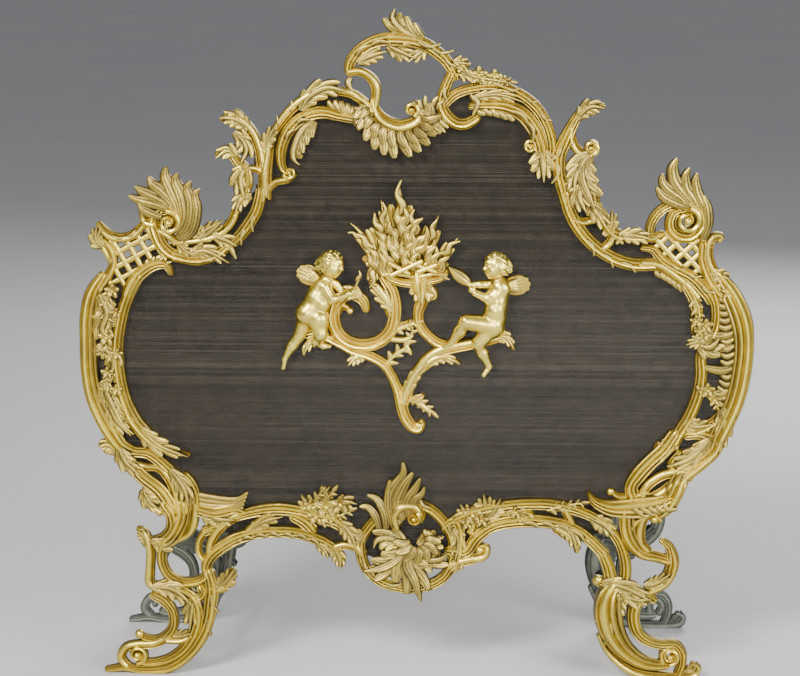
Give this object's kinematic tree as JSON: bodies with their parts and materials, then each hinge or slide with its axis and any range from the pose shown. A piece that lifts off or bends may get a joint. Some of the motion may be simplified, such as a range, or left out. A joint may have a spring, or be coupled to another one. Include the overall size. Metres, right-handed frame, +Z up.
{
  "type": "fireplace screen",
  "caption": "Free-standing fire screen: a ring of pierced scroll castings round a wire-gauze panel, with a flaming brazier between winged putti, on front and rear scroll feet",
  "frame": {"origin": "on the floor, under the middle of the whole screen's outline", "axes": "+X to the right as seen from the front, +Y to the back towards the fire, +Z up"},
  "size_m": [0.7498, 0.2094, 0.7597],
  "materials": {
    "gilt_bronze": "aged gilding, dull in the recesses and rubbed bright on the ridges",
    "bright_gilt": "burnished gilding",
    "dark_bronze": "dark grey-green patina on rough bronze",
    "wire_gauze": "fine woven wire, browned",
    "iron_strap": "plain hand-filed iron",
    "steel_fastener": "plain turned steel, dulled"
  },
  "bodies": {
    "root": {"crest_loop": "gilt_bronze", "crest_shell": "gilt_bronze", "crest_sprig": "gilt_bronze", "left_arch": "gilt_bronze", "right_arch": "gilt_bronze", "left_ear": "gilt_bronze", "right_ear": "gilt_bronze", "left_shoulder": "gilt_bronze", "right_shoulder": "gilt_bronze", "left_finial": "gilt_bronze", "right_finial": "gilt_bronze", "left_lattice": "gilt_bronze", "right_lattice": "gilt_bronze", "left_side": "gilt_bronze", "right_side": "gilt_bronze", "left_side_flowers": "gilt_bronze", "right_side_flowers": "gilt_bronze", "left_haunch": "gilt_bronze", "right_haunch": "gilt_bronze", "left_lower_rail": "gilt_bronze", "right_lower_rail": "gilt_bronze", "left_spray": "gilt_bronze", "right_spray": "gilt_bronze", "cartouche_ring": "gilt_bronze", "cartouche_leaves": "gilt_bronze", "left_front_foot": "gilt_bronze", "right_front_foot": "gilt_bronze", "left_rear_foot": "dark_bronze", "right_rear_foot": "dark_bronze", "left_bridges": "dark_bronze", "right_bridges": "dark_bronze", "bridge_nuts": "steel_fastener", "gauze_panel": "wire_gauze", "gauze_clips": "iron_strap", "clip_screws": "steel_fastener", "joint_straps": "iron_strap", "strap_screws": "steel_fastener", "mount_bracket": "bright_gilt", "brazier": "bright_gilt", "left_putto": "bright_gilt", "right_putto": "bright_gilt", "mount_studs": "steel_fastener", "mount_washers": "steel_fastener", "mount_nuts": "steel_fastener"}
  },
  "joints": []
}
